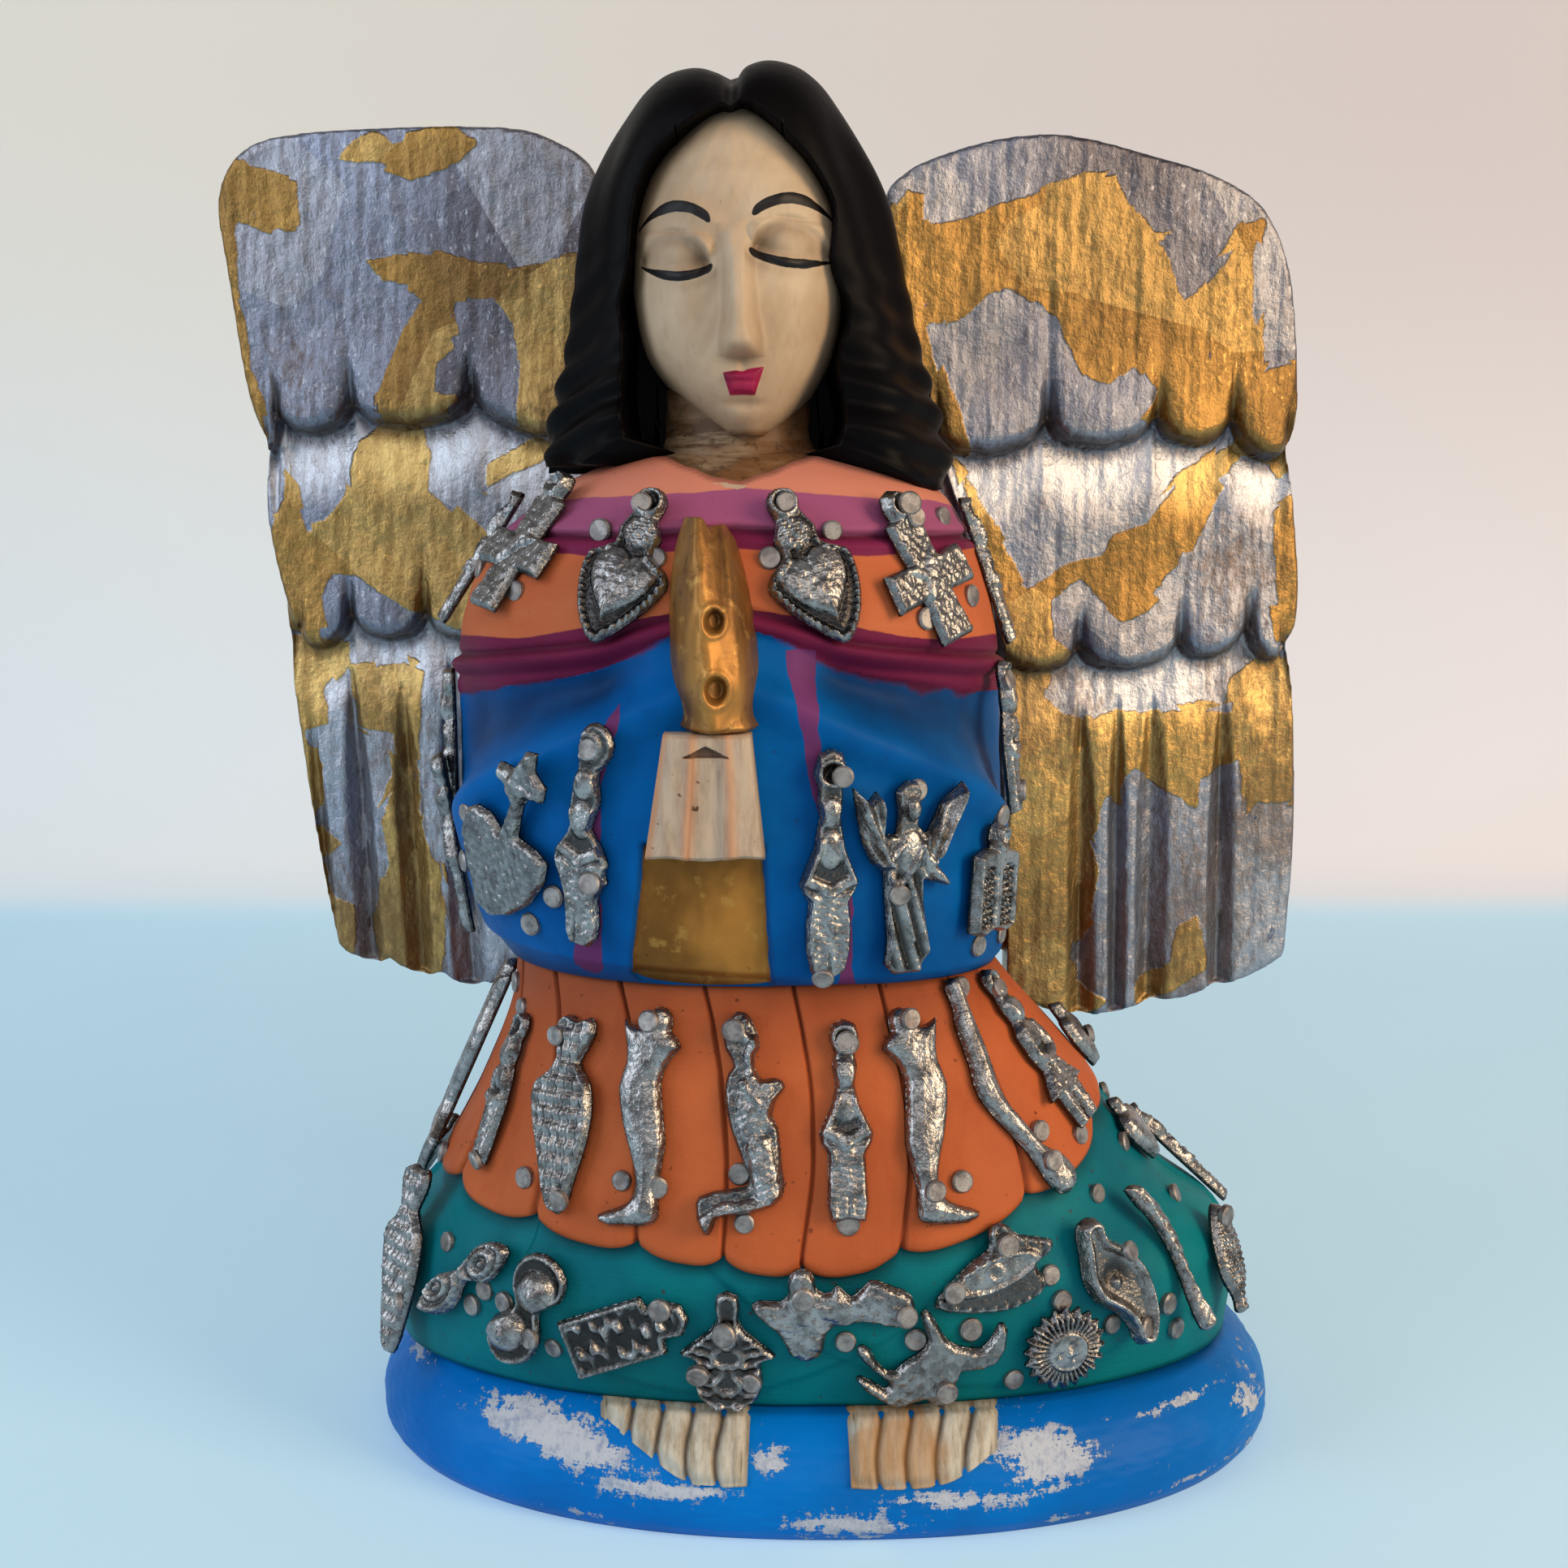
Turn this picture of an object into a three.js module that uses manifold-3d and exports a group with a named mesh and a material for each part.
import * as THREE from 'three';
import Module from 'manifold-3d';
import { mergeVertices } from 'three/addons/utils/BufferGeometryUtils.js';

const wasm = await Module();
wasm.setup();

// All lengths in millimetres. The figure faces -Y and stands on z = 0.
const gap = 0.3;                 // air left between pieces that touch

// Stages of the figure, one above the other
const plinthHeight = 16.2;
const skirtHeight = 63.5;
const capeHeight = 80.2;
const headHeight = 60;           // from the shoulders to the crown
const skirtBottom = plinthHeight + gap;
const skirtTop = skirtBottom + skirtHeight;
const capeBottom = skirtTop + gap;
const capeTop = capeBottom + capeHeight;
const crown = capeTop + headHeight;

// Skirt: green under-layer with an orange pleated layer over it
const skirtHalfWidth = 71.5;
const skirtDepth = 41;
const skirtBackDepth = 37;
const pleatCount = 18;
const pleatStart = -50;          // degrees, the first pleat groove at the waist
const pleatDepth = 1.5;
const layerThickness = 1.6;      // how far the orange layer stands off the green one
const lobeDrop = 3;              // how far each pleat's rounded end hangs down
const hemHeight = 23;            // green left showing below the orange edge at the front
const hemClimbRight = 20;
const hemClimbLeft = 7;

// Oval plinth, a little wider than the skirt, with the two carved feet
const plinthRimSide = 3.5;
const plinthRimFront = 9;
const plinthHalfWidth = skirtHalfWidth + plinthRimSide;
const plinthHalfDepth = skirtDepth + plinthRimFront;
const plinthColumns = 56;
const footWidth = 21.5;
const footLeftX = -22;
const footRightX = 12.5;
const footTipHeight = 9;
const footReach = 1.2;
const toeCount = 5;
const toeGrooveDepth = 1.3;

// Cape and body
const capeHalfWidth = 44.6;
const capeDepth = 38;
const capeBackDepth = 27;
const capeOverhang = 3;
const ridgeHeight = 2.3;         // carved fold of each sleeve
const hollowDepth = 1.9;         // hollow above the fold
const collarDrop = 6;            // how far the point of the V neckline lies below the shoulders
const collarHalf = 13.5;
const collarRise = 4;
const chestSink = 0.8;           // the bare chest lies this far below the cape's face
const liningHalfTop = 8.6;
const liningHalfBottom = 10.6;
const liningSink = 1.3;

// Cream cuff that the hands stand on
const cuffRise = 21.7;
const cuffHeight = 17.9;
const cuffTopHalf = 6.3;
const cuffBottomHalf = 8.6;
const cuffShift = 1.8;           // the cuff sits this far to the left of the hands
const cuffProud = 7.2;           // ahead of the cape
const cuffBottom = capeBottom + cuffRise;
const cuffTop = cuffBottom + cuffHeight;
const cuffFront = capeDepth + cuffProud;

// Neck, head and hair
const neckHalf = 11.7;
const neckFront = 12.7;
const neckBack = 10;
const neckSink = 8.2;
const neckX = -13;
const neckFoot = capeTop - neckSink;
const neckTop = capeTop + 9.5;
const headX = -14;
const faceHalfWidth = 16.8;
const faceDepth = 20;
const hairHalfWidth = 31.5;
const hairDepth = 18.5;
const hairBackDepth = 21;

// Praying hands
const handsX = -16;
const handsHeight = 30.3;
const handsHalfWidth = 7;
const handsProud = 8.4;          // ahead of the cape
const handsDepth = capeDepth + handsProud;
const handsBottom = cuffTop + gap;
const handsTop = handsBottom + handsHeight;

// Wings, hung from the shoulders
const wingSpringX = -14;         // both wings are measured outward from this line
const wingSpan = 100;
const wingHeight = 150;
const wingDrop = 95.5;
const wingLow = capeTop - wingDrop;
const wingSweep = 0.21;          // backward run for each millimetre outward
const wingBoardFront = 28;
const wingBoardThickness = 7;
const lowTierRaise = 2.5;
const midTierRaise = 5.2;
const topTierRaise = 8;
const fluteDepth = 1.8;
const fluteHalfWidth = 1.4;

// Hidden dowels
const mainDowelRadius = 4;
const neckDowelRadius = 3;
const pegRadius = 2;
const dowelReach = 10;           // how far a dowel goes into the plinth
const skirtReach = 19.5;
const waistReachDown = 14;
const waistReachUp = 16.7;
const neckReachDown = 22.5;
const neckReachUp = 11.5;
const baseDowelLow = plinthHeight - dowelReach;
const baseDowelHigh = skirtBottom + skirtReach;
const waistDowelLow = skirtTop - waistReachDown;
const waistDowelHigh = capeBottom + waistReachUp;
const waistDowelX = -12;
const neckDowelLow = capeTop - neckReachDown;
const neckDowelHigh = capeTop + neckReachUp;
const pegFront = 12;
const pegBack = 30;
const pegOut = 16;               // from the wing line outward
const pegDrops = [56.5, 20.5];   // below the shoulders
const pegHeights = pegDrops.map((drop) => capeTop - drop);

// Cast charms; their outlines are drawn for a standing figure 35 mm tall
const charmThickness = 1.4;
const charmFigure = 35;

const radians = THREE.MathUtils.degToRad;

// Height inside a stage, from 0 at its foot to 1 at its top
const inSkirt = (share) => skirtBottom + share * skirtHeight;
const inCape = (share) => capeBottom + share * capeHeight;
const inHead = (share) => capeTop + share * headHeight;

// Smooth curve of one value against height, through a few chosen heights
function profile(points) {
  const slopes = points.map((p, i) => {
    const a = points[Math.max(i - 1, 0)];
    const b = points[Math.min(i + 1, points.length - 1)];
    return (b[1] - a[1]) / (b[0] - a[0]);
  });
  return (t) => {
    const last = points.length - 1;
    if (t <= points[0][0]) return points[0][1];
    if (t >= points[last][0]) return points[last][1];
    let i = 0;
    while (points[i + 1][0] < t) i += 1;
    const h = points[i + 1][0] - points[i][0];
    const q = (t - points[i][0]) / h;
    const start = points[i][1] * (1 + 2 * q) * (1 - q) ** 2 + slopes[i] * h * q * (1 - q) ** 2;
    const end = points[i + 1][1] * q * q * (3 - 2 * q) + slopes[i + 1] * h * q * q * (q - 1);
    return start + end;
  };
}

// Rows are a share of the stage's height and a share of the named width or depth
const shaped = (stage, size, rows) => profile(rows.map(([share, part]) => [stage(share), part * size]));

// The figure leans: sideways place of its middle against height
const lean = profile([
  [0, 0], [skirtBottom, -1.9], [inSkirt(0.28), -2.2], [inSkirt(0.4), -4], [inSkirt(0.57), -5.2],
  [inSkirt(0.76), -7.7], [inSkirt(0.89), -10], [inCape(0.01), -12.5], [inCape(0.18), -14.8], [inCape(0.37), -15.7],
  [inCape(0.73), -15.7], [inCape(0.84), -14.5], [inCape(0.93), -12.8], [inHead(0.04), -13], [inHead(0.49), -14],
  [inHead(1.02), -15],
]);
const capeHalf = shaped(inCape, capeHalfWidth, [
  [-0.03, 0.924], [0.046, 0.957], [0.183, 0.989], [0.37, 1], [0.557, 0.989], [0.732, 0.924], [0.844, 0.815],
  [0.931, 0.663], [0.981, 0.457], [1.006, 0.261],
]);
const capeFront = shaped(inCape, capeDepth, [
  [-0.03, 0.921], [0.046, 0.947], [0.183, 0.987], [0.37, 1], [0.557, 0.974], [0.732, 0.895], [0.844, 0.776],
  [0.931, 0.618], [0.981, 0.421], [1.006, 0.25],
]);
const capeBack = shaped(inCape, capeBackDepth, [
  [-0.03, 0.963], [0.183, 1], [0.557, 0.981], [0.732, 0.926], [0.844, 0.833], [0.931, 0.685], [0.981, 0.5],
  [1.006, 0.352],
]);
const skirtHalf = shaped(inSkirt, skirtHalfWidth, [
  [-0.01, 0.986], [0.134, 1], [0.276, 0.972], [0.402, 0.853], [0.575, 0.741], [0.764, 0.629], [0.89, 0.559],
  [1.016, 0.51],
]);
const skirtFront = shaped(inSkirt, skirtDepth, [
  [-0.01, 0.963], [0.134, 1], [0.276, 0.995], [0.402, 0.966], [0.575, 0.902], [0.764, 0.824], [0.89, 0.768],
  [1.016, 0.72],
]);
const skirtBack = shaped(inSkirt, skirtBackDepth, [
  [-0.01, 0.973], [0.134, 1], [0.276, 0.973], [0.575, 0.838], [0.89, 0.716], [1.016, 0.676],
]);

// One point of a rounded cross-section; angle 0 is the front, positive to the viewer's right
function section(middle, half, front, back, angle, grow = 0, fullness = 2.2) {
  const s = Math.sin(angle);
  const c = Math.cos(angle);
  const k = (Math.abs(s) ** fullness + Math.abs(c) ** fullness) ** (-1 / fullness);
  const depth = c > 0 ? front : back;
  return [middle + (half + grow) * s * k, -(depth + grow) * c * k];
}

const hump = (distance, width) => Math.exp(-((distance / width) ** 2));

function easing(value, low, high) {
  const q = Math.min(1, Math.max(0, (value - low) / (high - low)));
  return q * q * (3 - 2 * q);
}

// Closed solid from rings of points, each row a function of the column's angle
function loft(rows, columns, lowMiddle, highMiddle) {
  const positions = [];
  const indices = [];
  for (const row of rows) {
    for (let i = 0; i < columns; i += 1) {
      positions.push(...row((i / columns) * 2 * Math.PI - Math.PI, i));
    }
  }
  for (let j = 0; j < rows.length - 1; j += 1) {
    for (let i = 0; i < columns; i += 1) {
      const a = j * columns + i;
      const b = j * columns + ((i + 1) % columns);
      indices.push(a, b, b + columns, a, b + columns, a + columns);
    }
  }
  const low = positions.length / 3;
  positions.push(...lowMiddle, ...highMiddle);
  const top = (rows.length - 1) * columns;
  for (let i = 0; i < columns; i += 1) {
    const next = (i + 1) % columns;
    indices.push(low, next, i, low + 1, top + i, top + next);
  }
  const geometry = new THREE.BufferGeometry();
  geometry.setAttribute('position', new THREE.Float32BufferAttribute(positions, 3));
  geometry.setIndex(indices);
  return geometry;
}

function toSolid(geometry) {
  const bare = new THREE.BufferGeometry();
  bare.setAttribute('position', geometry.getAttribute('position'));
  if (geometry.index) bare.setIndex(geometry.index);
  const merged = mergeVertices(bare, 1e-4);
  return new wasm.Manifold(new wasm.Mesh({
    numProp: 3,
    vertProperties: new Float32Array(merged.getAttribute('position').array),
    triVerts: new Uint32Array(merged.index.array),
  }));
}

function toGeometry(solid) {
  const mesh = solid.getMesh();
  const geometry = new THREE.BufferGeometry();
  geometry.setAttribute('position', new THREE.BufferAttribute(new Float32Array(mesh.vertProperties), 3));
  geometry.setIndex(new THREE.BufferAttribute(new Uint32Array(mesh.triVerts), 1));
  return geometry;
}

function uprightRod(radius, low, high, x, sides = 20) {
  const rod = new THREE.CylinderGeometry(radius, radius, high - low, sides);
  rod.rotateX(Math.PI / 2);
  rod.translate(x, 0, (low + high) / 2);
  return rod;
}

function crossRod(radius, front, back, x, z, sides = 16) {
  const rod = new THREE.CylinderGeometry(radius, radius, back - front, sides);
  rod.translate(x, (front + back) / 2, z);
  return rod;
}

function ball(width, depth, height, x, y, z) {
  const sphere = new THREE.SphereGeometry(1, 16, 10);
  sphere.scale(width, depth, height);
  sphere.translate(x, y, z);
  return toSolid(sphere);
}

// Flat shape of points (sideways, height), run from one depth to another
function slab(points, front, back, curveSegments = 5) {
  const shape = points instanceof THREE.Shape ? points : new THREE.Shape(points.map((p) => new THREE.Vector2(...p)));
  const block = new THREE.ExtrudeGeometry(shape, { depth: back - front, bevelEnabled: false, curveSegments });
  block.rotateX(Math.PI / 2);
  block.translate(0, back, 0);
  return toSolid(block);
}

// Straight wedge that cuts a V groove along a line; its mouth faces -Y
function grooveCutter(from, to, width, depth) {
  const along = new THREE.Vector3().subVectors(to, from);
  const shape = new THREE.Shape([
    new THREE.Vector2(-width, depth * 1.6),
    new THREE.Vector2(0, -depth),
    new THREE.Vector2(width, depth * 1.6),
  ]);
  const wedge = new THREE.ExtrudeGeometry(shape, { depth: along.length(), bevelEnabled: false });
  const forward = along.clone().normalize();
  const mouth = new THREE.Vector3(0, -1, 0);
  const side = new THREE.Vector3().crossVectors(mouth, forward).normalize();
  const up = new THREE.Vector3().crossVectors(forward, side).normalize();
  wedge.applyMatrix4(new THREE.Matrix4().makeBasis(side, up, forward).setPosition(from));
  return toSolid(wedge);
}

// Plinth with its feet
function plinthRing(inset, share) {
  return (angle) => {
    const p = section(0, plinthHalfWidth - inset, plinthHalfDepth - inset, plinthHalfDepth - inset, angle);
    return [p[0], p[1], plinthHeight * share];
  };
}

function foot(middle) {
  const front = -plinthHalfDepth - footReach;
  const back = front + 22;
  const stations = 7;
  const rings = [];
  for (let j = 0; j <= stations; j += 1) {
    const t = j / stations;
    const y = front + (back - front) * t;
    const low = footTipHeight - 3.4;
    const crest = footTipHeight + (plinthHeight + 1.6 - footTipHeight) * Math.sin(t * Math.PI / 2) ** 0.8;
    const clear = skirtBottom - 2 * gap - 0.1 + Math.max(0, -y - skirtDepth + 4.5) * 0.12;
    const high = Math.min(crest, clear);
    const half = (footWidth / 2) * (0.84 + 0.16 * Math.sin(Math.min(1, t * 2.5) * Math.PI / 2));
    rings.push((angle) => {
      const s = Math.sin(angle);
      const c = Math.cos(angle);
      const k = (Math.abs(s) ** 4 + Math.abs(c) ** 4) ** (-1 / 4);
      return [middle + half * s * k, y, (high + low) / 2 - ((high - low) / 2) * c * k];
    });
  }
  return loft(rings.reverse(), 18, [middle, back, footTipHeight], [middle, front, footTipHeight - 1]);
}

function makePlinth() {
  const rings = [
    plinthRing(1.8, 0), plinthRing(0.3, 0.14), plinthRing(0, 0.37), plinthRing(1.2, 0.62), plinthRing(4.2, 0.84),
    plinthRing(7, 0.95), plinthRing(9, 1),
  ];
  let solid = toSolid(loft(rings, plinthColumns, [0, 0, 0], [0, 0, plinthHeight]));
  for (const middle of [footLeftX, footRightX]) {
    let carved = toSolid(foot(middle));
    for (let i = 1; i < toeCount; i += 1) {
      const x = middle + (i / toeCount - 0.5) * footWidth * 0.94;
      const from = new THREE.Vector3(x, -plinthHalfDepth - footReach * 2, footTipHeight - 1);
      const to = new THREE.Vector3(x, -skirtDepth, plinthHeight - 0.2);
      carved = carved.subtract(grooveCutter(from, to, 0.9, toeGrooveDepth));
    }
    solid = solid.add(carved);
  }
  return solid.subtract(toSolid(uprightRod(mainDowelRadius + gap, baseDowelLow - gap, plinthHeight + 4, 0)));
}

// Skirt
function pleatAngle(angle, fall) {
  return angle - fall * (radians(14) * Math.sin(2 * angle) + radians(6) * Math.cos(angle));
}

function pleatPhase(angle) {
  const t = (THREE.MathUtils.radToDeg(angle) - pleatStart) / (360 / pleatCount);
  return t - Math.floor(t);
}

// Height of the orange layer's lower edge: rounded lobes that climb toward the sides
function orangeEdge(angle) {
  const side = Math.sin(pleatAngle(angle, 1));
  const climb = side > 0 ? hemClimbRight * side ** 1.4 : -hemClimbLeft * side;
  const lobe = 1 - Math.abs(2 * pleatPhase(angle) - 1) ** 2.2;
  return skirtBottom + hemHeight + climb - lobeDrop * lobe;
}

function skirtSurface(angle, z, orange = z > orangeEdge(angle)) {
  const fall = Math.min(1, Math.max(0, (skirtTop - z) / (skirtHeight - hemHeight - 0.5)));
  const crest = Math.min(1, (1 - Math.abs(2 * pleatPhase(angle) - 1)) * 3.2);
  const grow = orange ? layerThickness - pleatDepth * (1 - crest) : 0;
  const place = pleatAngle(angle, fall);
  const p = section(lean(z), skirtHalf(z), skirtFront(z), skirtBack(z), place, grow);
  return [p[0], p[1], z];
}

function makeSkirt() {
  const rows = [];
  for (const t of [0, 0.2, 0.4, 0.6, 0.8, 1]) {
    rows.push((a) => skirtSurface(a, skirtBottom + (orangeEdge(a) - skirtBottom) * t, false));
  }
  for (const t of [0, 0.2, 0.4, 0.6, 0.8, 1]) {
    rows.push((a) => skirtSurface(a, orangeEdge(a) + 0.05 + (skirtTop - orangeEdge(a) - 0.05) * t, true));
  }
  const middles = [[lean(skirtBottom), 0, skirtBottom], [lean(skirtTop), 0, skirtTop]];
  return toSolid(loft(rows, pleatCount * 6, ...middles))
    .subtract(toSolid(uprightRod(mainDowelRadius + gap, skirtBottom - 4, baseDowelHigh + gap, 0)))
    .subtract(toSolid(uprightRod(mainDowelRadius + gap, waistDowelLow - gap, skirtTop + 4, waistDowelX)));
}

// Cape: the lower band's groove falls away to both sides, a hollow lies under it,
// and below the hollow the elbow's fold runs down and outward
const bandGroove = profile([
  [0, inCape(0.695)], [15, inCape(0.657)], [25, inCape(0.625)], [45, inCape(0.602)], [90, inCape(0.576)],
]);

function capeRelief(angle, z) {
  const side = Math.abs(THREE.MathUtils.radToDeg(angle));
  const line = inCape(0.582) - 0.33 * side;
  const fade = easing(90 - side, 0, 35);
  const fold = ridgeHeight * hump(z - line, 4.2) * fade;
  const shelf = easing(line - z, 0, 4) * easing(z, capeBottom, capeBottom + 10) * fade;
  const room = Math.max(bandGroove(side) - line, 1);
  const hollow = hollowDepth * hump(z - (line + 0.58 * room), 0.36 * room)
    * easing(side, 12, 28) * easing(95 - side, 0, 30);
  return fold + shelf - hollow;
}

function capeSurface(angle, z, grow = 0) {
  const p = section(lean(z), capeHalf(z), capeFront(z), capeBack(z), angle, capeRelief(angle, z) + grow);
  return [p[0], p[1], z];
}

function capeHem(angle) {
  return capeBottom + 1.1 - 2.4 * Math.sin(angle);
}

function capeShell(grow) {
  const rows = [];
  const low = capeBottom - grow;
  const around = [skirtHalf(low), skirtFront(low), skirtBack(low) - 1.6].map((size) => size + capeOverhang);
  rows.push((a) => {
    const p = section(lean(low), ...around, a, grow);
    return [p[0], p[1], Math.min(low, skirtTop + gap)];
  });
  rows.push((a) => capeSurface(a, capeHem(a) - grow, grow));
  const shares = [0.071, 0.133, 0.196, 0.258, 0.308, 0.358, 0.4, 0.442, 0.483, 0.521, 0.558, 0.595, 0.632, 0.67,
    0.72, 0.782, 0.844, 0.894, 0.938, 0.969];
  for (const share of shares) rows.push((a) => capeSurface(a, inCape(share), grow));
  rows.push((a) => capeSurface(a, capeTop + grow, grow));
  return toSolid(loft(rows, 68, [lean(low), 0, low], [lean(capeTop), 0, capeTop + grow]));
}

// The neckline's V, made smaller by the given clearance
function collar(clearance, back) {
  const spread = (collarHalf * (collarDrop + collarRise)) / collarDrop - clearance * 3;
  return slab([
    [neckX, capeTop - collarDrop + clearance * 2],
    [neckX + spread, capeTop + collarRise],
    [neckX - spread, capeTop + collarRise],
  ], -capeDepth - 10, back);
}

// Block that stands on the chest, wider below than above
function makeCuff() {
  const rings = [];
  for (const t of [0, 0.06, 0.5, 0.94, 1]) {
    const rim = t === 0 || t === 1 ? 0.8 : 0;
    const half = cuffBottomHalf + (cuffTopHalf - cuffBottomHalf) * t - rim;
    const front = cuffFront - 0.8 * t - rim;
    const back = capeDepth - 12;
    rings.push((angle) => {
      const p = section(handsX - cuffShift - 0.4 * (1 - t), half, front - back, 2, angle, 0, 4);
      return [p[0], p[1] - back, cuffBottom + cuffHeight * t];
    });
  }
  const middle = -capeDepth + 12;
  return toSolid(loft(rings, 28, [handsX - cuffShift, middle, cuffBottom], [handsX - cuffShift, middle, cuffTop]));
}

function makeCape() {
  const lining = slab([
    [handsX - 3.2 - liningHalfBottom, capeBottom - 4], [handsX - 3.2 + liningHalfBottom, capeBottom - 4],
    [handsX - 2.8 + liningHalfTop, cuffBottom + 2], [handsX - 2.8 - liningHalfTop, cuffBottom + 2],
  ], -capeDepth - 10, -capeDepth + 12);
  const socket = loft([neckFoot - gap, neckTop].map((z) => (a) => {
    const p = section(neckX, neckHalf, neckFront, neckBack, a, gap);
    return [p[0], p[1], z];
  }), 36, [neckX, 0, neckFoot - gap], [neckX, 0, neckTop]);
  let solid = capeShell(0)
    .subtract(lining.subtract(capeShell(-liningSink)))
    .add(makeCuff())
    .subtract(toSolid(socket))
    .subtract(collar(0, -neckFront + 3))
    .subtract(toSolid(uprightRod(mainDowelRadius + gap, capeBottom - 4, waistDowelHigh + gap, waistDowelX)))
    .subtract(toSolid(uprightRod(neckDowelRadius + gap, neckDowelLow - gap, capeTop, neckX)));
  for (const side of [-1, 1]) {
    for (const z of pegHeights) {
      const bore = crossRod(pegRadius + gap, pegFront - gap, capeBackDepth + 14, wingSpringX + side * pegOut, z);
      solid = solid.subtract(toSolid(bore));
    }
  }
  return solid;
}

// Head: the hair is hollowed to an oval in front, and the face is set into it
const hairHalf = shaped(inHead, hairHalfWidth, [
  [-0.108, 0.952], [-0.008, 1], [0.092, 0.968], [0.275, 0.889], [0.475, 0.81], [0.625, 0.746], [0.775, 0.629],
  [0.892, 0.46], [0.967, 0.27], [1, 0.095],
]);
const hairFront = shaped(inHead, hairDepth, [
  [-0.108, 1.32], [-0.04, 1.28], [0.04, 1.14], [0.12, 1], [0.25, 0.9], [0.408, 0.9], [0.625, 1], [0.775, 1],
  [0.875, 0.86], [0.958, 0.5], [1, 0.162],
]);
const hairBack = shaped(inHead, hairBackDepth, [
  [-0.108, 0.857], [0.158, 0.952], [0.575, 1], [0.792, 0.81], [0.942, 0.429], [1, 0.143],
]);
const faceHalf = shaped(inHead, faceHalfWidth, [
  [0.033, 0.21], [0.075, 0.405], [0.135, 0.62], [0.19, 0.775], [0.25, 0.887], [0.34, 0.965], [0.425, 1],
  [0.575, 0.976], [0.708, 0.81], [0.825, 0.446], [0.88, 0.2],
]);
const faceFront = shaped(inHead, faceDepth, [
  [0.033, 0.75], [0.092, 0.9], [0.192, 0.98], [0.358, 1], [0.525, 0.97], [0.692, 0.85], [0.825, 0.6], [0.88, 0.4],
]);

function hairRing(share) {
  const z = inHead(share);
  return (angle) => {
    const wave = 0.8 * Math.cos(9 * angle + z / 5) * Math.min(1, (crown - z) / 12);
    const p = section(lean(z), hairHalf(z), hairFront(z), hairBack(z), angle, wave);
    const part = 2.6 * hump(p[0] - headX, 3.4) * easing(share, 0.74, 1);
    return [p[0], p[1], z - part];
  };
}

function makeHead(capeGrown) {
  const hairLevels = [-0.108, -0.04, 0.04, 0.14, 0.24, 0.34, 0.44, 0.54, 0.64, 0.725, 0.81, 0.875, 0.933, 0.975, 1];
  const hair = loft(hairLevels.map(hairRing), 48, [headX, 0, inHead(-0.108)], [headX - 1, 0, crown - 2.4]);
  const opening = [[0, -0.16], [33, -0.16], [29, -0.118], [26.4, -0.11], [14.6, 0], [15.6, 0.16], [16, 0.36], [15.8, 0.5], [14.8, 0.62],
    [12.8, 0.68], [10, 0.74], [4.8, 0.82], [0, 0.88], [-4.8, 0.82], [-10, 0.74], [-12.8, 0.68], [-14.8, 0.62], [-15.8, 0.5], [-16, 0.36],
    [-15.8, 0.16], [-16.4, 0.03], [-24.6, -0.05], [-34, -0.05], [-34, -0.16]];
  const oval = slab(opening.map(([x, share]) => [headX + x, inHead(share)]), -faceDepth - 20, -1);
  const faceLevels = [0.033, 0.058, 0.1, 0.16, 0.24, 0.34, 0.44, 0.54, 0.64, 0.74, 0.82, 0.875];
  const face = loft(faceLevels.map((share) => (a) => {
    const z = inHead(share);
    const p = section(headX, faceHalf(z), faceFront(z), 5, a, 0, 2.4);
    return [p[0], p[1], z];
  }), 40, [headX, -4, inHead(0.033)], [headX, -4, inHead(0.875)]);
  const neck = loft([neckFoot, neckTop].map((z) => (a) => {
    const p = section(neckX, neckHalf, neckFront, neckBack, a);
    return [p[0], p[1], z];
  }), 36, [neckX, 0, neckFoot], [neckX, 0, neckTop]);
  const noseStations = [[0.22, 1.4, 1.2], [0.237, 2.9, 5.2], [0.27, 2.7, 5.4], [0.37, 1.8, 3.4], [0.52, 1.6, 0.6]];
  const nose = loft(noseStations.map(([share, half, proud]) => (a) => {
    const p = section(headX + 0.5, half, faceDepth + proud - 15, 1, a);
    return [p[0], p[1] - 15, inHead(share)];
  }), 14, [headX, -15, inHead(0.22)], [headX, -15, inHead(0.52)]);
  let solid = toSolid(hair).subtract(capeGrown).subtract(oval).add(toSolid(face));
  for (const side of [-1, 1]) {
    const height = inHead(0.482) + side * 0.6;
    solid = solid.subtract(ball(6.2, 2.6, 5, headX + side * 8.2, -faceDepth - 0.4, height));
    solid = solid.add(ball(5.2, 2.8, 3.4, headX + side * 8.2, -faceDepth + 3.2, height - 0.4));
  }
  const chest = capeShell(-chestSink).intersect(collar(gap, -neckFront + 3 - gap));
  return solid
    .add(toSolid(neck))
    .add(chest)
    .add(toSolid(nose))
    .add(ball(3.3, 1.5, 1.8, headX + 0.7, -faceDepth + 0.5, inHead(0.16)))
    .subtract(toSolid(uprightRod(neckDowelRadius + gap, neckFoot - 4, neckDowelHigh + gap, neckX)));
}

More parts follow.
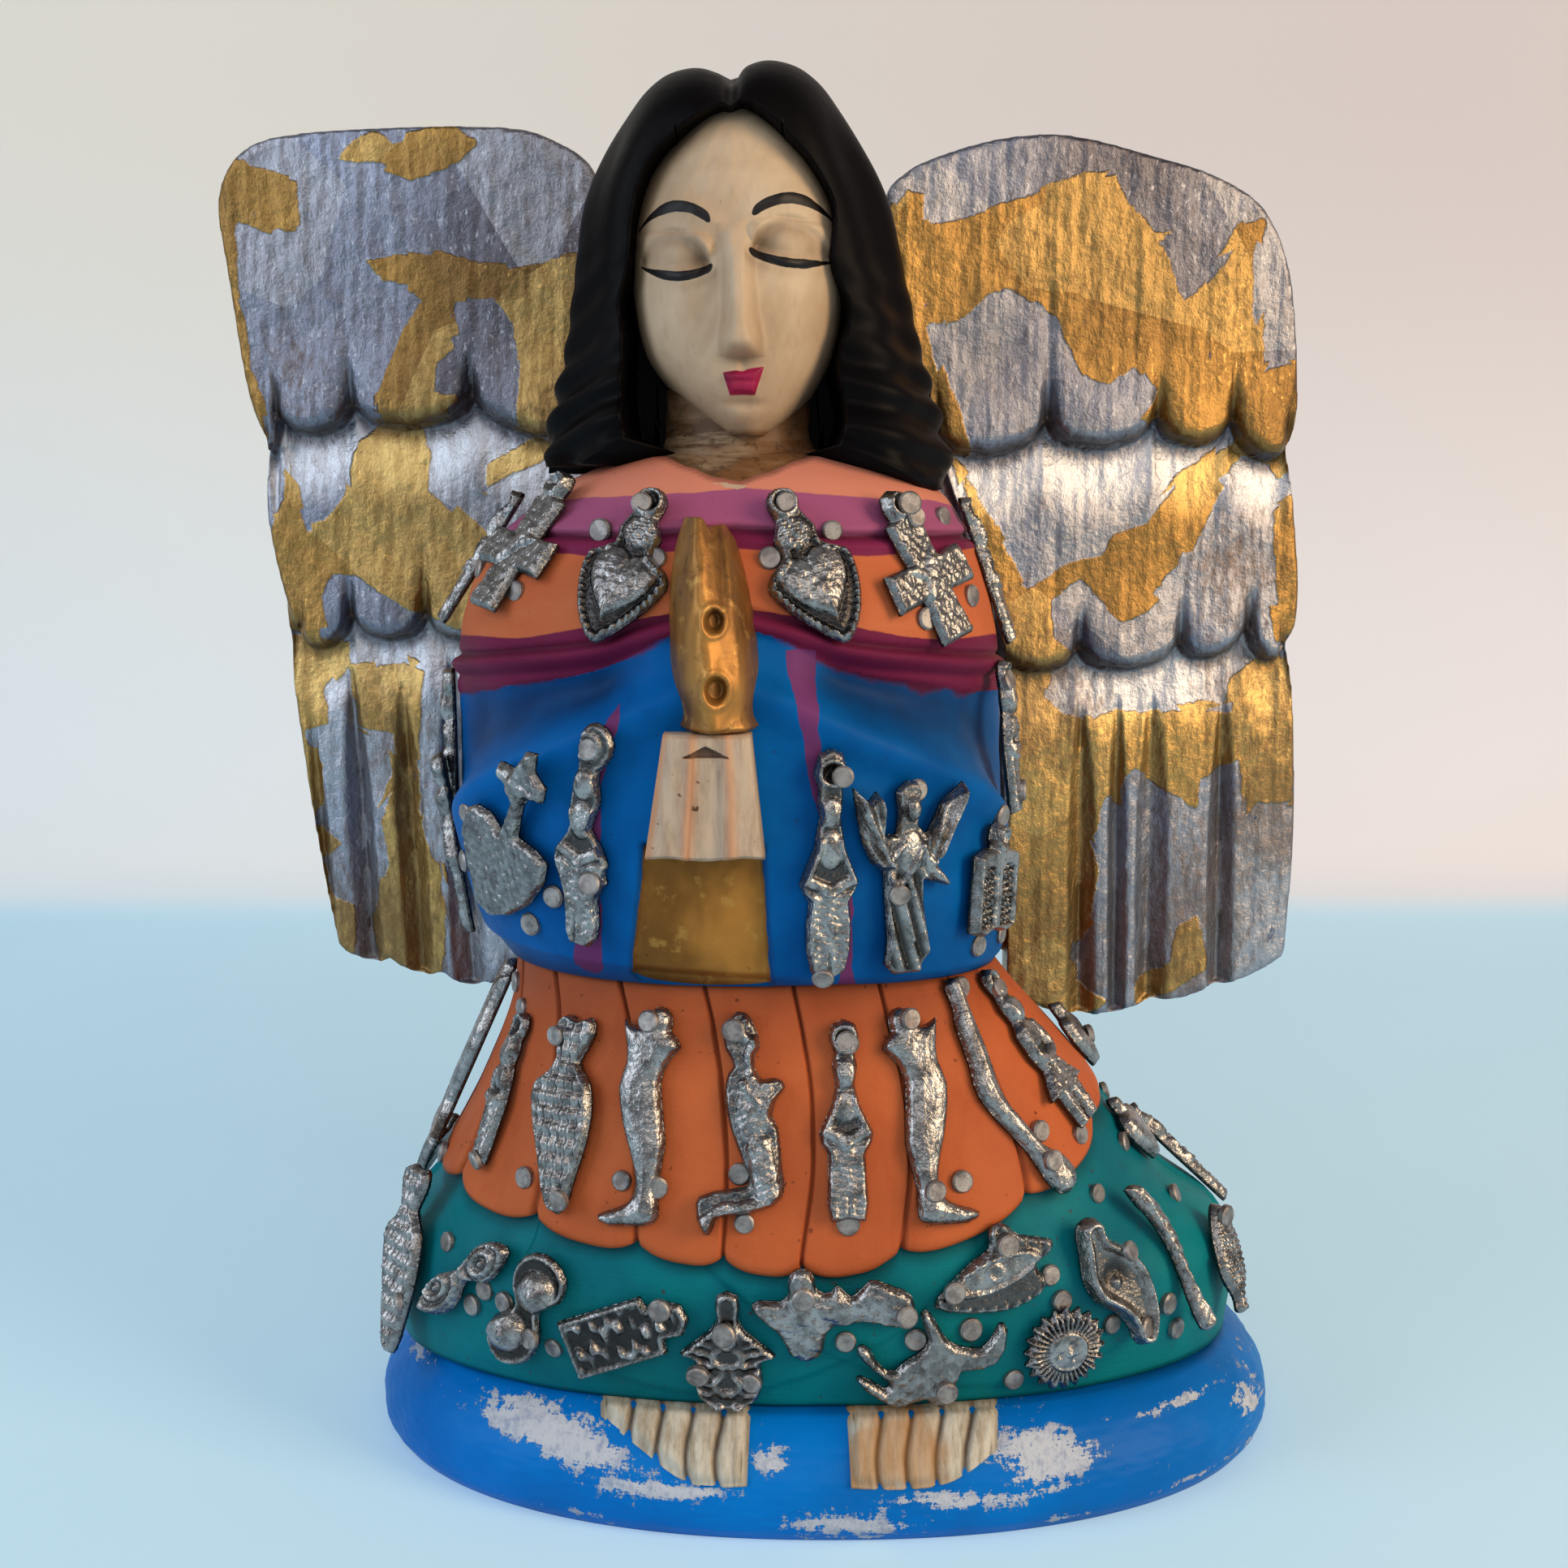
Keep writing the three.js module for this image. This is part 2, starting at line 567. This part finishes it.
// Hands
function makeHands(capeGrown) {
  const levels = [0, 0.04, 0.14, 0.27, 0.41, 0.54, 0.68, 0.82, 0.94, 0.985, 1];
  const inHands = (share) => handsBottom + share * handsHeight;
  const half = shaped(inHands, handsHalfWidth, [[0, 0.93], [0.2, 1], [0.44, 0.97], [0.64, 0.85], [0.85, 0.62], [1, 0.36]]);
  const front = shaped(inHands, handsDepth, [[0, 0.98], [0.23, 1], [0.5, 0.974], [0.81, 0.897], [1, 0.84]]);
  const back = handsDepth - 20.4;
  const body = loft(levels.map((share, j) => (a) => {
    const z = inHands(share);
    const rim = j === 0 || j === levels.length - 1 ? 0.7 : 0;
    const p = section(handsX - 0.2, half(z), front(z) - back, 2, a, -rim, 2.6);
    return [p[0], p[1] - back, z];
  }), 28, [handsX, -back, handsBottom], [handsX, -back, handsTop]);
  const from = new THREE.Vector3(handsX + 0.6, -handsDepth - 0.4, handsBottom - 2);
  const to = new THREE.Vector3(handsX, -handsDepth + 7.8, handsTop + 2);
  return toSolid(body).subtract(capeGrown).subtract(grooveCutter(from, to, 0.8, 1));
}

// Wings, drawn flat on a grid 100 wide and 150 high that is stretched to the named span and
// height, then leaned back by the sweep. Rounded feather ends hang between a tier's cusps.
const outward = (x) => (x * wingSpan) / 100;
const upward = (z) => wingLow + (z * wingHeight) / 150;

function tier(upper, cusps, drop) {
  const shape = new THREE.Shape();
  const place = ([x, z]) => [outward(x), upward(z)];
  shape.moveTo(...place(upper[0]));
  shape.splineThru(upper.slice(1).map((p) => new THREE.Vector2(...place(p))));
  const points = [upper[upper.length - 1], ...cusps].map(place);
  for (let i = 1; i < points.length; i += 1) {
    const [x0, z0] = points[i - 1];
    const [x1, z1] = points[i];
    const bend = (4 * drop) / 3;
    shape.bezierCurveTo(x0 + (x1 - x0) * 0.1, z0 - bend, x1 - (x1 - x0) * 0.1, z1 - bend, x1, z1);
  }
  shape.closePath();
  return shape;
}

function makeWing(side, wing, capeGrown) {
  const front = wingBoardFront;
  const behind = front + wingBoardThickness;
  let solid = slab(wing.backing.map(([x, z]) => [outward(x), upward(z)]), front, behind);
  solid = solid.add(slab(wing.low, front - lowTierRaise, behind - 1, 4));
  solid = solid.add(slab(wing.middle, front - midTierRaise, behind - 1.5, 4));
  solid = solid.add(slab(wing.top, front - topTierRaise, behind - 0.5, 4));
  for (const [x0, z0, x1, z1, raise] of wing.grooves) {
    const from = new THREE.Vector3(outward(x0), front - raise, upward(z0));
    const to = new THREE.Vector3(outward(x1), front - raise, upward(z1));
    solid = solid.subtract(grooveCutter(from, to, fluteHalfWidth, fluteDepth));
  }
  const geometry = toGeometry(solid);
  const sweep = new THREE.Matrix4().set(
    side, 0, 0, wingSpringX,
    wingSweep, 1, 0, -wingSweep * 34,
    0, 0, 1, 0,
    0, 0, 0, 1,
  );
  geometry.applyMatrix4(sweep);
  if (side < 0) {
    const index = geometry.index.array;
    for (let i = 0; i < index.length; i += 3) [index[i], index[i + 1]] = [index[i + 1], index[i]];
  }
  let placed = toSolid(geometry).subtract(capeGrown);
  for (const z of pegHeights) {
    const bore = crossRod(pegRadius + gap, 0, pegBack + gap, wingSpringX + side * pegOut, z);
    placed = placed.subtract(toSolid(bore));
  }
  return placed;
}

const leftWing = {
  backing: [[10, 33], [20, 27], [44, 11], [72, 11], [80, 47], [86, 125], [82, 143], [60, 148], [34, 145],
    [24, 137], [23, 95], [10, 87]],
  top: tier([[24, 101], [23, 123], [24, 141], [32, 148], [43, 150.5], [71, 151], [86, 149], [92, 141],
    [91, 128], [88, 107], [85, 99]], [[83, 104], [69, 105], [47, 106], [24, 101]], 4.5),
  middle: tier([[28, 69], [28, 107], [82, 107], [85, 98], [86, 85], [83, 70], [81, 65]],
    [[71, 68], [57, 68], [43, 68], [28, 69]], 4.5),
  low: tier([[41, 5], [42, 35], [44, 75], [80, 75], [83, 61], [82, 46], [79, 23], [76, 6]],
    [[66, 4], [56, 2], [48, 0.5], [41, 5]], 1.5),
  grooves: [[50, -3, 53, 59, lowTierRaise], [60, -3, 62, 55, lowTierRaise], [69, -3, 72, 57, lowTierRaise],
    [57, 66, 56, 95, midTierRaise], [71, 66, 70, 95, midTierRaise], [43, 66, 42, 95, midTierRaise],
    [47, 103, 45, 125, topTierRaise], [69, 102, 69, 125, topTierRaise]],
};
const rightWing = {
  backing: [[10, 33], [20, 27], [40, 1], [48, 7], [98, 7], [99, 47], [95, 125], [88, 139], [60, 146],
    [34, 143], [24, 135], [23, 95], [10, 87]],
  top: tier([[33, 100], [27, 117], [24, 136], [27, 142], [35, 146], [46, 149], [57, 149.5], [70, 147], [82, 144],
    [91, 139], [96, 130], [98, 119], [99, 105], [98, 99]], [[87, 103], [73, 103], [53, 102], [33, 100]], 5),
  middle: tier([[44, 63], [38, 85], [38, 105], [92, 105], [98, 96], [101, 76], [101, 66], [99, 62]],
    [[92, 66], [79, 63], [60, 62], [44, 63]], 4.5),
  low: tier([[48, 7], [46, 45], [46, 71], [96, 71], [100, 61], [102, 49], [103, 25], [102, 3]],
    [[88, -2], [76, -4], [62, -6], [48, -1]], 1.5),
  grooves: [[62, -9, 61, 51, lowTierRaise], [75, -9, 74, 49, lowTierRaise], [89, -7, 88, 53, lowTierRaise],
    [60, 60, 60, 91, midTierRaise], [79, 61, 79, 91, midTierRaise], [53, 99, 53, 125, topTierRaise],
    [73, 100, 73, 125, topTierRaise]],
};

// Charms. Each outline is drawn flat, x to the viewer's right and y up.
// Right half given from top to bottom, the left half mirrored
function both(half) {
  const left = half.filter(([x]) => x > 0).map(([x, y]) => [-x, y]).reverse();
  return [...half, ...left];
}

function curved(points, count) {
  const curve = new THREE.CatmullRomCurve3(points.map(([x, y]) => new THREE.Vector3(x, y, 0)), true, 'centripetal');
  return curve.getPoints(count).slice(0, count).map((p) => [p.x, p.y]);
}

const flip = (points) => points.map(([x, y]) => [-x, y]);

const heartShape = curved([[1.2, 13.5], [3.1, 12.7], [3.8, 10.9], [3, 9], [3.9, 6], [3.3, 3.9], [4.8, 2.2], [6.4, 0.9],
  [6.5, -1.4], [5.3, -5.2], [3.2, -8.8], [0.4, -11.4], [-1.3, -11.8], [-4.4, -7.8], [-6.6, -3.6], [-7.5, 0],
  [-6.3, 1.7], [-4.2, 2.7], [-2.9, 3.6], [-3.2, 6.2], [-1.2, 8.6], [-1.4, 10.9], [-0.6, 12.8]], 40);
const crossShape = both([[0, 14.8], [1.9, 14.1], [2.6, 12.2], [2.1, 10.3], [3.7, 9.8], [3.2, 3.2], [8.6, 3.4],
  [8.9, -2.8], [3.1, -2.6], [3.6, -9.8]]);
const womanShape = curved([[2.8, 18.2], [4.8, 17.2], [5.7, 14.8], [4.6, 12.2], [3.2, 10.8], [3.4, 8.4], [3.5, 5.8],
  [2, 2.4], [4.2, -1.2], [4.8, -3.2], [4.2, -4.6], [4.8, -5.8], [3.3, -7.4], [3.4, -13], [2.2, -15.9], [-1.6, -15.2],
  [-2, -11], [-2.4, -7], [-3.6, -4], [-3.9, -1.6], [-2.4, 0.6], [-1.1, 2.8], [-1.4, 5.4], [-0.6, 9.4], [0.1, 12],
  [0.2, 15.4], [1.2, 17.6]], 42);
const manShape = both([[0, 18.1], [1.8, 17.3], [2.6, 14.6], [1.8, 12], [1.9, 10], [1.5, 8.2], [2, 5.6], [2.3, 3.4],
  [3.4, 0.8], [4.5, -1.8], [3.9, -3.3], [3, -4.6], [3.4, -8], [3.3, -12], [2.6, -15.2], [0, -16.6]]);
const slenderShape = both([[0, 16.7], [1.7, 16], [2.3, 14], [1.5, 11.6], [1.9, 9.8], [1.4, 6.8], [2.2, 3.8],
  [4.1, -0.2], [3.7, -1.8], [2.8, -3.2], [2.9, -7], [3.1, -10.4], [2.6, -13.2], [0, -12.8]]);
const slightShape = both([[0, 12.6], [1.5, 11.8], [1.9, 10], [1.2, 7.8], [1.5, 6.2], [1.2, 4.4], [1.9, 2.2],
  [2.3, -2], [2, -7], [1.6, -12]]);
const skirtedShape = both([[0, 16.4], [1.6, 15.6], [2, 13.8], [1.4, 11.8], [2.2, 9.6], [1.7, 6.8], [3.2, 4.8],
  [3.4, 0.6], [2.6, -2], [6.2, -6.4], [3.4, -6.6], [3, -12.6], [1, -12.6], [0.6, -7.2]]);
const legShape = curved([[-3.9, 15.2], [-2.4, 14.2], [-0.8, 14], [0, 15.6], [1.3, 16.9], [2.9, 16.7], [3.9, 15],
  [3.6, 13.2], [5.4, 11.2], [3.6, 9.2], [2.2, 6.2], [2.6, 1], [3.1, -3.6], [2.4, -7.6], [2, -10.6], [2.3, -14],
  [1.2, -15.3], [-2, -15.7], [-6.8, -15.5], [-7.4, -14.2], [-4.8, -13.3], [-2.3, -12], [-1.4, -9.8], [-1.9, -6.6],
  [-3.2, -2.6], [-4.2, 1.8], [-4.4, 5.6], [-3.4, 8.4], [-3.4, 11.6]], 46);
const armShape = curved([[-3.8, 17.4], [-2.2, 18.6], [-0.8, 17.2], [-1, 14], [-0.7, 9], [-0.6, 4], [-0.8, 0.4],
  [0, -3], [1.8, -6.4], [3.4, -10], [5.6, -11.4], [6.6, -12.6], [7.6, -14.6], [7.2, -17], [5.2, -18.2], [3.2, -17.4],
  [1.6, -14.2], [0.8, -11.2], [-1.2, -7.4], [-4, -2.4], [-4.9, 0.6], [-4.3, 5.6], [-4.4, 10.6], [-3.5, 14.2]], 38);
const archangelShape = [[-0.4, 12.8], [1.4, 12.6], [2.2, 11], [1.6, 9.4], [1.7, 6.2], [3.2, 4.6], [4.4, 6.6],
  [5.6, 9.2], [9.6, 12.2], [9.4, 8.6], [8.3, 5.4], [6.2, 2.2], [4.6, 0.8], [7.2, -2.6], [7, -3.6], [2.8, -2.2],
  [3, -5.4], [4.3, -13.2], [3.2, -14.8], [2.6, -16.4], [1.2, -16.3], [-1.8, -16.3], [-3.4, -14.7], [-3, -11],
  [-3.6, -5], [-4, -0.4], [-6, 0.8], [-7.6, 4], [-8.6, 8], [-9.4, 12.4], [-6.8, 10], [-5.4, 11.6], [-4.6, 9.4],
  [-4.3, 5.2], [-2, 4.8], [-1.6, 8], [-2.2, 11.2]];
const infantShape = curved([[-1, 16.2], [0.4, 15.6], [3, 16.5], [3.9, 14.2], [2.8, 11.4], [1.9, 9.2], [4.4, 7],
  [5.8, 3.6], [6, -2], [5, -7.6], [4.4, -11.4], [3, -13.6], [0.8, -12.8], [-1, -9.6], [-3, -5], [-4.8, -1],
  [-6.2, 3.4], [-5.6, 5.6], [-2.6, 8.4], [-2.6, 11], [-3.7, 13.6], [-2.6, 16]], 36);
const kneelingShape = curved([[-0.9, 15.8], [0.8, 15.3], [1.7, 13.6], [2.7, 10.8], [1.7, 9], [2.7, 5.8], [5.6, 6],
  [6.5, 4.6], [4.4, 1.4], [5.7, -1.8], [6.1, -6.4], [6.7, -10.4], [5.4, -12.6], [0.4, -14.2], [-3.4, -14.8],
  [-4.2, -17.2], [-5.4, -17.2], [-6.6, -13], [-5.8, -11.4], [-1, -10.4], [1.5, -9.6], [0.6, -7], [-1.4, -2],
  [-2.5, 2.4], [-2.2, 6.2], [-1.2, 7.8], [-2.5, 9.8], [-2.9, 13]], 44);
const boatShape = [[4.6, 19.6], [6.6, 19.8], [6.2, 16.8], [8.6, 14.9], [8, 12.3], [5.2, 12.3], [3.9, 10.4],
  [2.9, 5], [7, 4.2], [9.2, 2.8], [8.6, -0.6], [5.6, -5.4], [1.4, -8.8], [-2.4, -10.4], [-5.6, -9], [-7, -4.6],
  [-8.4, -0.4], [-9, 2.6], [-7.9, 6.2], [-6, 7.3], [-3, 7], [-0.4, 4.8], [0.7, 7.6], [1.9, 10.8], [1.3, 12.8],
  [-1.1, 14], [-1, 16.2], [2.4, 16]];
const bookShape = both([[0, 10.6], [1.6, 10], [2, 8.2], [1.2, 6.6], [3.6, 6.6], [6.3, 5.8], [6.4, -6.2],
  [3.2, -7], [0.6, -6.2]]);
const eyesShape = curved([[0.6, 1.4], [4, 3.6], [5.4, 7], [5.2, 10.8], [1.8, 9.8], [-0.6, 7], [-1.2, 4], [-2.2, 1.4],
  [-4.8, -1.2], [-5.8, -4.8], [-5.2, -8.2], [-2, -7], [0.4, -4.2], [0.8, -1.6]], 30);
const domesShape = curved([[3.2, 10], [5.8, 7.6], [5.4, 3.8], [2.9, 1.8], [2.4, 0.4], [3.2, -1.8], [3, -5.6],
  [0.6, -8.2], [-2.8, -8.6], [-5.4, -5.8], [-5, -2], [-2.3, 0], [-1.8, 1.6], [-2.9, 4], [-2.8, 7.6], [-0.2, 10.2]], 32);
const tabletShape = [[-9, 4.8], [5.2, 4.8], [5.6, 2.9], [8.4, 3.2], [10.8, 1.8], [11.2, -0.8], [9.4, -2.8],
  [6.4, -2.4], [6, -4.8], [-9, -4.8]];
const cherubShape = both([[0, 10.6], [1.6, 9.9], [1.9, 8.2], [1.6, 6], [2.6, 4.4], [7.4, 0.4], [4.9, -0.6],
  [5.3, -4], [4.4, -6.8], [2, -8.3]]);
const childShape = curved([[-12.2, 0.7], [-11.6, 1.9], [-7, 2.3], [-7, 5], [-6.4, 7], [-4.4, 7.4], [-3, 6],
  [-2.8, 4.4], [-0.8, 3.6], [0.4, 5.2], [2.4, 3.2], [3.8, 4.4], [5.4, 6.2], [8.4, 5.2], [11.2, 4.2], [12.2, 1.4],
  [11, -1], [8.4, -1.3], [6, -0.6], [0, -1.8], [-0.9, -3.4], [-1.2, -6.2], [-3.4, -7.5], [-6, -6.6], [-7.4, -3.8],
  [-10.4, -1.2]], 44);
const lashedEyeShape = curved([[-10.5, 0.2], [-6.6, 2.4], [-2.4, 3.8], [0.8, 4.4], [1.6, 6.6], [3.2, 7.4],
  [4.7, 6.4], [5.6, 4.4], [10.4, 0.9], [9.2, -0.5], [6.4, -1.2], [7, -4.2], [5.6, -5.5], [0.4, -5.7], [-4.6, -3.8]], 36);
const dogShape = curved([[-11.4, 1.6], [-10.2, 2.2], [-7.8, -0.6], [-5.6, -2], [-3.6, 0.2], [-1.4, 2], [-0.8, 4.2],
  [-2.8, 7.6], [-2, 8.8], [0, 6.6], [2.4, 3.8], [5.6, 3], [8, 3.4], [9.4, 7.4], [10.6, 7.4], [11.2, 3.4],
  [9.6, 0.2], [5, -0.9], [4.6, -4.4], [3.2, -7.1], [1.4, -6.8], [0.2, -5.8], [-3.4, -7.8], [-6.4, -6.8],
  [-10.8, -3.8], [-10, -2.8], [-6.2, -4.8], [-5.4, -4], [-8.2, -2], [-11, 0.2]], 46);
const earShape = curved([[-3.6, 12.2], [-1.6, 13], [0.4, 12], [0.6, 9], [3.4, 6.2], [5.1, 2.6], [5.3, -2],
  [4.2, -6.4], [1.8, -9.2], [-0.5, -8.2], [-0.8, -4.6], [-2.4, -1.8], [-4.6, 0.6], [-5.5, 4.4], [-4.6, 8]], 34);
const crescentShape = curved([[-1.6, 13.4], [1, 13], [2.8, 8.4], [3, 2], [1.6, -4], [1.4, -8], [2, -10.4], [0.4, -12.4],
  [-1.6, -11.4], [-1.4, -8], [-0.4, -3], [0.4, 2], [0, 7.4]], 26);
const fishShape = curved([[-0.8, 8.6], [1, 8.2], [3.4, 4], [4, 0], [3.2, -4], [1, -6.6], [1.4, -9], [-1.4, -8.6],
  [-1.2, -6.6], [-3.6, -3], [-4, 1], [-3, 5.4]], 28);
const smallHeartShape = curved(both([[0, 7], [1.2, 6.2], [1, 4.2], [3.4, 3.8], [4.2, 0.8], [2.4, -3.4], [0.6, -6]]), 24);
const sunShape = [];
for (let i = 0; i < 40; i += 1) {
  const reach = i % 2 ? 5.6 : 6.9;
  sunShape.push([reach * Math.sin(i * Math.PI / 20), reach * Math.cos(i * Math.PI / 20)]);
}

function inside(points, u, v) {
  let hit = false;
  for (let i = 0, j = points.length - 1; i < points.length; j = i, i += 1) {
    const [xi, yi] = points[i];
    const [xj, yj] = points[j];
    if ((yi > v) !== (yj > v) && u < ((xj - xi) * (v - yi)) / (yj - yi) + xi) hit = !hit;
  }
  return hit;
}

// Lays a flat cast charm on the carved surface: level with the wood around its middle,
// then moved outward until its back just clears the highest wood under its outline
function pinned(surface, drawn, degrees, height, tilt) {
  const outline = drawn.map(([x, y]) => [(x * charmFigure) / 35, (y * charmFigure) / 35]);
  const at = (a, z) => new THREE.Vector3(...surface(a, z));
  const angle = radians(degrees);
  const reachU = Math.max(...outline.map(([x]) => Math.abs(x)));
  const reachV = Math.max(...outline.map(([, y]) => Math.abs(y)));
  const turn = radians(tilt);
  const spanU = Math.abs(reachU * Math.cos(turn)) + Math.abs(reachV * Math.sin(turn));
  const spanV = Math.abs(reachV * Math.cos(turn)) + Math.abs(reachU * Math.sin(turn));
  const perRadian = at(angle + 0.02, height).distanceTo(at(angle - 0.02, height)) / 0.04;
  const stepA = Math.min(0.6, (0.7 * spanU) / perRadian);
  const stepZ = 0.6 * spanV;
  const across = at(angle + stepA, height).sub(at(angle - stepA, height)).normalize();
  const rise = at(angle, height + stepZ).sub(at(angle, height - stepZ)).normalize();
  const normal = new THREE.Vector3().crossVectors(across, rise).normalize();
  const up = new THREE.Vector3().crossVectors(normal, across).normalize();
  const right = across.clone().multiplyScalar(Math.cos(turn)).addScaledVector(up, -Math.sin(turn));
  const top = up.clone().multiplyScalar(Math.cos(turn)).addScaledVector(across, Math.sin(turn));
  const middle = at(angle, height);
  let highest = -20;
  for (let i = -24; i <= 24; i += 1) {
    for (let j = -24; j <= 24; j += 1) {
      const p = at(angle + (i / 24) * (1.4 * spanU) / perRadian, height + (j / 24) * 1.4 * spanV).sub(middle);
      if (inside(outline, p.dot(right) * 0.97, p.dot(top) * 0.97)) highest = Math.max(highest, p.dot(normal));
    }
  }
  const shape = new THREE.Shape(outline.map((p) => new THREE.Vector2(...p)));
  const plate = new THREE.ExtrudeGeometry(shape, { depth: charmThickness, bevelEnabled: false });
  const origin = middle.clone().addScaledVector(normal, highest + gap);
  plate.applyMatrix4(new THREE.Matrix4().makeBasis(right, top, normal).setPosition(origin));
  return toSolid(plate);
}

// The assembly
const angel = new THREE.Group();
angel.name = 'milagro_angel';

function addPiece(name, solid, color, roughness, metalness) {
  const material = new THREE.MeshStandardMaterial({ color, roughness, metalness });
  material.name = `${name}_finish`;
  const mesh = new THREE.Mesh(toGeometry(solid), material);
  mesh.name = name;
  angel.add(mesh);
}

const capeGrown = capeShell(gap);
addPiece('plinth_with_feet', makePlinth(), 0x1c63b0, 0.6, 0);
addPiece('pleated_skirt', makeSkirt(), 0xd2683a, 0.6, 0);
addPiece('caped_body', makeCape(), 0x2b5ca8, 0.6, 0);
addPiece('head_with_hair', makeHead(capeGrown), 0xcfae86, 0.5, 0);
addPiece('praying_hands', makeHands(capeGrown), 0xc79a3e, 0.4, 0.6);
addPiece('left_wing', makeWing(-1, leftWing, capeGrown), 0xb8924a, 0.4, 0.7);
addPiece('right_wing', makeWing(1, rightWing, capeGrown), 0xb8924a, 0.4, 0.7);

const dowelColour = 0xc49a66;
addPiece('base_dowel', toSolid(uprightRod(mainDowelRadius, baseDowelLow, baseDowelHigh, 0)), dowelColour, 0.8, 0);
addPiece('waist_dowel', toSolid(uprightRod(mainDowelRadius, waistDowelLow, waistDowelHigh, waistDowelX)),
  dowelColour, 0.8, 0);
addPiece('neck_dowel', toSolid(uprightRod(neckDowelRadius, neckDowelLow, neckDowelHigh, neckX)),
  dowelColour, 0.8, 0);
for (const [side, word] of [[-1, 'left'], [1, 'right']]) {
  pegHeights.forEach((z, i) => {
    const peg = crossRod(pegRadius, pegFront, pegBack, wingSpringX + side * pegOut, z);
    addPiece(`${word}_wing_peg_${i ? 'upper' : 'lower'}`, toSolid(peg), dowelColour, 0.8, 0);
  });
}

// Each row: name, outline, degrees round from the front, percent of the stage's height, tilt
const capeCharms = [
  ['shoulder_figure_left', slightShape, -84, 78, 4],
  ['cross_left', crossShape, -52, 79.4, 10],
  ['heart_left', flip(heartShape), -21, 76.9, 20],
  ['heart_right', heartShape, 18, 76.9, -25],
  ['cross_right', crossShape, 45.5, 74.8, -18],
  ['shoulder_figure_right', slightShape, 80, 75.7, -4],
  ['side_figure_left', slightShape, -88, 41, 0],
  ['side_leg_left', slenderShape, -82, 19.6, 0],
  ['boat_with_cross', boatShape, -45, 23.3, 14],
  ['standing_woman', womanShape, -27, 28.3, 4],
  ['standing_man', manShape, 18.6, 23.3, 0],
  ['archangel', archangelShape, 33.5, 23.3, 0],
  ['side_figure_right', slightShape, 72, 43.3, 0],
  ['open_book', bookShape, 57, 15.8, 3],
];
const skirtCharms = [
  ['long_leg', flip(legShape), -88, 68.5, 0],
  ['small_figure', slightShape, -63, 68.5, 0],
  ['swaddled_infant', infantShape, -46, 65.4, 0],
  ['leg_left', legShape, -27, 68.5, -3],
  ['kneeling_man', kneelingShape, -6, 70.1, 0],
  ['praying_figure', slenderShape, 17, 66.9, 0],
  ['leg_right', flip(legShape), 32.5, 68.5, 0],
  ['bent_arm', armShape, 50, 71.7, -4],
  ['woman_in_skirt', skirtedShape, 64, 76.4, -8],
  ['waist_figure_right', smallHeartShape, 92, 71.7, 0],
  ['hip_heart_left', smallHeartShape, -97, 38.6, 0],
  ['swaddled_child', infantShape, -72, 21.3, 0],
  ['pair_of_eyes', eyesShape, -58, 23, 24],
  ['pair_of_domes', domesShape, -47, 20, 12],
  ['tablet', tabletShape, -31, 18.1, -22],
  ['cherub', cherubShape, -9, 14.4, 0],
  ['lying_child', childShape, 14.6, 25.4, 3],
  ['eye_with_lashes', lashedEyeShape, 42, 32.3, -22],
  ['dog', dogShape, 31, 12.6, 8],
  ['sun_with_face', sunShape, 48.6, 13.4, 0],
  ['ear', earShape, 56, 24.4, -16],
  ['long_leaf', crescentShape, 64.6, 28.3, -18],
  ['fish', fishShape, 75, 23, 8],
  ['hip_heart_right', smallHeartShape, 82, 51.2, -10],
  ['hip_figure_right', slightShape, 94, 37, 0],
];
for (const [name, outline, degrees, percent, tilt] of capeCharms) {
  const plate = pinned(capeSurface, outline, degrees, inCape(percent / 100), tilt);
  addPiece(`charm_${name}`, plate, 0x8f8c88, 0.4, 0.9);
}
for (const [name, outline, degrees, percent, tilt] of skirtCharms) {
  const plate = pinned((a, z) => skirtSurface(a, z), outline, degrees, inSkirt(percent / 100), tilt);
  addPiece(`charm_${name}`, plate, 0x8f8c88, 0.4, 0.9);
}

export default angel;
